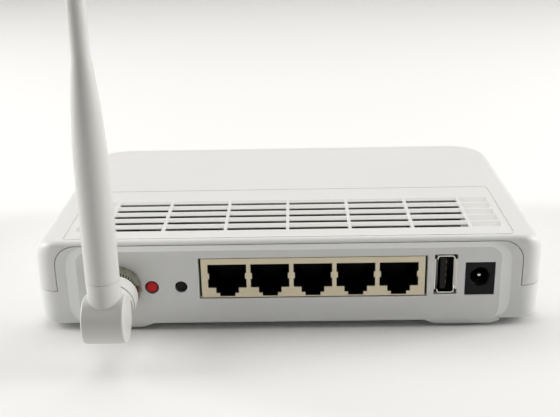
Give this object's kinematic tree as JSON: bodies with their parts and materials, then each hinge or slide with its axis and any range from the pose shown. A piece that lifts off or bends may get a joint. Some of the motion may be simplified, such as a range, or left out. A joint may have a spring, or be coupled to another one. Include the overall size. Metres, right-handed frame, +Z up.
{
  "type": "wireless router",
  "caption": "Low white desk router with a vented top, a row of network sockets, a serial bus socket, a power inlet, push buttons and a screw-on antenna that tilts and swivels.",
  "frame": {"origin": "on the table, under the middle of the whole object, antenna included", "axes": "+X to the right seen from the socket side, +Y from the socket panel towards the nose, +Z up"},
  "size_m": [0.1668, 0.1458, 0.186],
  "materials": {
    "case_plastic": "fine matt moulded white plastic",
    "antenna_plastic": "satin white plastic",
    "nut_metal": "dark olive nickel plate, knurled edge",
    "brass": "turned brass",
    "gold_contact": "thin gold flash",
    "insulator": "white fluoropolymer",
    "tin_sheet": "warm tin-plated sheet",
    "nickel_sheet": "bright nickel plate",
    "socket_plastic": "black glass-filled plastic",
    "red_button": "satin red plastic",
    "black_button": "black plastic",
    "foot_rubber": "dark grey rubber",
    "board_laminate": "green solder mask",
    "chip_epoxy": "black moulded epoxy",
    "can_steel": "tin-plated steel",
    "screw_steel": "zinc-plated steel",
    "smoked_window": "smoked clear plastic",
    "clear_guide": "frosted clear acrylic",
    "led_body": "pale clear epoxy",
    "capacitor_can": "bare aluminium can",
    "ceramic": "brown ceramic",
    "cable_jacket": "brown coaxial jacket"
  },
  "bodies": {
    "housing": {"top_cover": "case_plastic", "bottom_shell": "case_plastic", "indicator_window": "smoked_window", "rubber_feet": "foot_rubber", "case_screws": "screw_steel", "circuit_board": "board_laminate", "board_screws": "screw_steel", "port_shield": "tin_sheet", "port_housing": "socket_plastic", "port_contacts": "gold_contact", "usb_shell": "nickel_sheet", "usb_insulator": "socket_plastic", "usb_contacts": "gold_contact", "inlet_body": "socket_plastic", "inlet_pin": "nickel_sheet", "inlet_spring": "nickel_sheet", "setup_switch": "socket_plastic", "reset_switch": "socket_plastic", "processor_chip": "chip_epoxy", "memory_chip": "chip_epoxy", "flash_chip": "chip_epoxy", "radio_chip": "chip_epoxy", "radio_can": "can_steel", "line_transformers": "chip_epoxy", "voltage_regulator": "chip_epoxy", "power_inductor": "chip_epoxy", "clock_crystal": "can_steel", "usb_fuse": "ceramic", "tall_capacitors": "capacitor_can", "small_capacitors": "ceramic", "small_resistors": "chip_epoxy", "status_leds": "led_body", "light_guide": "clear_guide", "antenna_socket": "brass", "socket_insulator": "insulator", "socket_contact": "gold_contact"},
    "coupling_nut": {"antenna_nut": "nut_metal"},
    "swivel_base": {"antenna_collar": "antenna_plastic", "antenna_plug": "brass", "plug_insulator": "insulator", "plug_contact": "gold_contact"},
    "antenna_arm": {"antenna_knuckle": "antenna_plastic", "antenna_blade": "antenna_plastic", "hinge_pin": "screw_steel", "feed_cable": "cable_jacket", "choke_tube": "brass"},
    "setup_plunger": {"setup_button": "red_button"},
    "reset_plunger": {"reset_button": "black_button"}
  },
  "joints": [
    {"name": "nut_turn", "type": "hinge", "parent": "housing", "child": "coupling_nut", "pos_m": [-0.0552, -0.04635, 0.016], "axis": [0, 1, 0], "continuous": true},
    {"name": "antenna_swivel", "type": "hinge", "parent": "housing", "child": "swivel_base", "pos_m": [-0.0552, -0.0512, 0.016], "axis": [0, 1, 0], "range_deg": [-180, 180]},
    {"name": "antenna_tilt", "type": "hinge", "parent": "swivel_base", "child": "antenna_arm", "pos_m": [-0.0552, -0.0654, 0.016], "axis": [1, 0, 0], "range_deg": [0, 90]},
    {"name": "setup_press", "type": "slide", "parent": "housing", "child": "setup_plunger", "axis": [0, 1, 0], "range_m": [0, 0.0008], "stiffness_N_per_m": 800, "springref_m": -0.0005},
    {"name": "reset_press", "type": "slide", "parent": "housing", "child": "reset_plunger", "axis": [0, 1, 0], "range_m": [0, 0.0005], "stiffness_N_per_m": 800, "springref_m": -0.0005}
  ]
}
